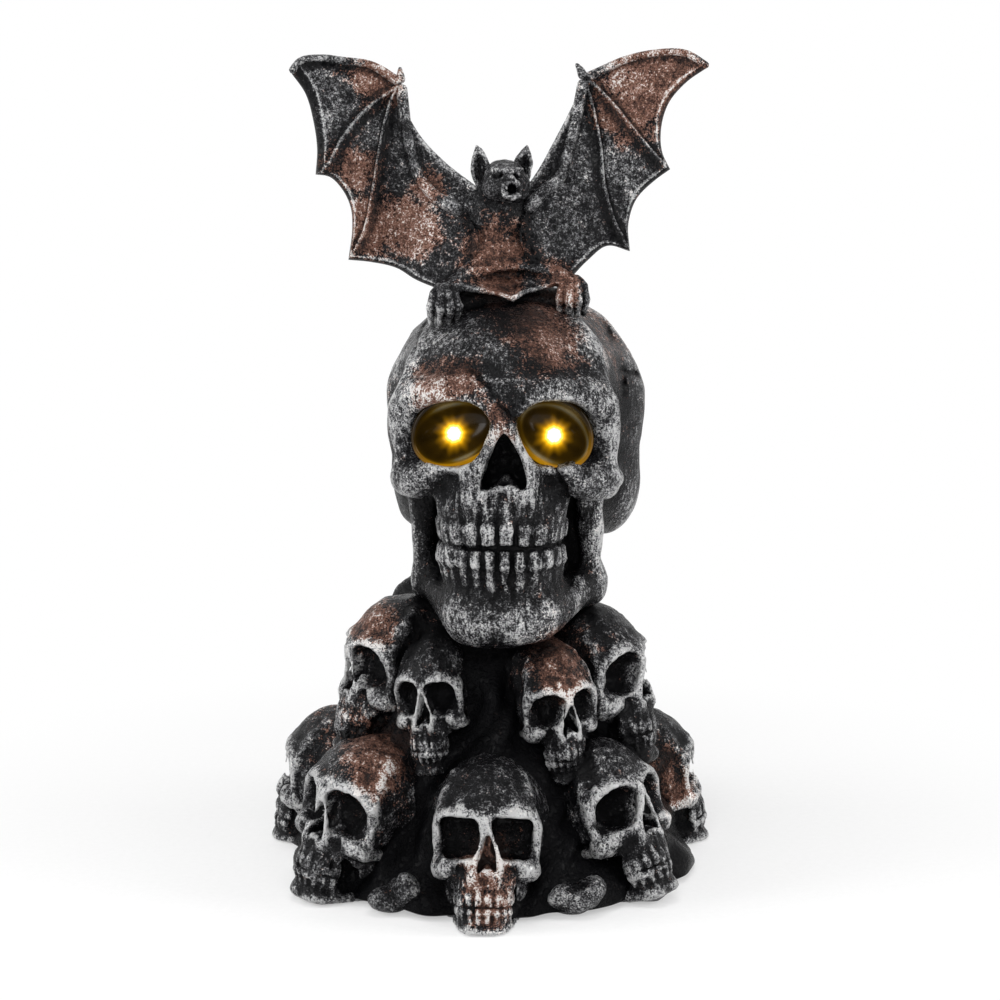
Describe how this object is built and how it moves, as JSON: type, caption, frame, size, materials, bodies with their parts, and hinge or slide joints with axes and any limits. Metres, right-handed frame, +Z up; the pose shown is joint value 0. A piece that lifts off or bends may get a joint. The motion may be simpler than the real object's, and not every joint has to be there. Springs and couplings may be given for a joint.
{
  "type": "halloween skull decoration",
  "caption": "Table decoration: bat with spread wings on a large skull with lit amber eyes, over a cone of small skulls; battery tray in the base.",
  "frame": {"origin": "on the table, under the middle of the object's box", "axes": "+Z up, the faces look along -Y, +X is the viewer's right"},
  "size_m": [0.1936, 0.2058, 0.3497],
  "materials": {
    "antiqued_resin": "black lacquer dry-brushed with silver and copper",
    "amber_lens": "smoky clear amber",
    "amber_lamp": "clear, lit",
    "black_plastic": "fine moulded grain",
    "black_rubber": "matt",
    "nickel": "nickel plate",
    "cell_sleeve": "printed sleeve, plain",
    "board_green": "solder mask",
    "red_sleeve": "insulation",
    "black_sleeve": "insulation"
  },
  "bodies": {
    "root": {"stack_casting": "antiqued_resin", "skull_casting": "antiqued_resin", "bat_body": "antiqued_resin", "left_wing": "antiqued_resin", "right_wing": "antiqued_resin", "left_eye_lens": "amber_lens", "right_eye_lens": "amber_lens", "left_led": "amber_lamp", "right_led": "amber_lamp", "left_led_wire": "red_sleeve", "right_led_wire": "black_sleeve", "base_tray": "black_plastic", "battery_1": "cell_sleeve", "battery_2": "cell_sleeve", "bridge_contact": "nickel", "positive_contact": "nickel", "negative_contact": "nickel", "positive_lead": "red_sleeve", "negative_lead": "black_sleeve", "switch_body": "black_plastic", "control_board": "board_green", "timer_chip": "black_plastic", "tray_screw_1": "nickel", "tray_screw_2": "nickel", "tray_screw_3": "nickel", "tray_screw_4": "nickel", "foot_1": "black_rubber", "foot_2": "black_rubber", "foot_3": "black_rubber", "foot_4": "black_rubber"},
    "battery_door": {"battery_door": "black_plastic", "battery_door_screw": "nickel"},
    "switch_knob": {"switch_knob": "black_plastic"}
  },
  "joints": [
    {"name": "battery_door_hinge", "type": "hinge", "parent": "root", "child": "battery_door", "pos_m": [-0.0301, 0, 0.003], "axis": [0, 1, 0], "range_deg": [0, 80]},
    {"name": "switch_slide", "type": "slide", "parent": "root", "child": "switch_knob", "axis": [0, 1, 0], "range_m": [0, 0.004]}
  ]
}
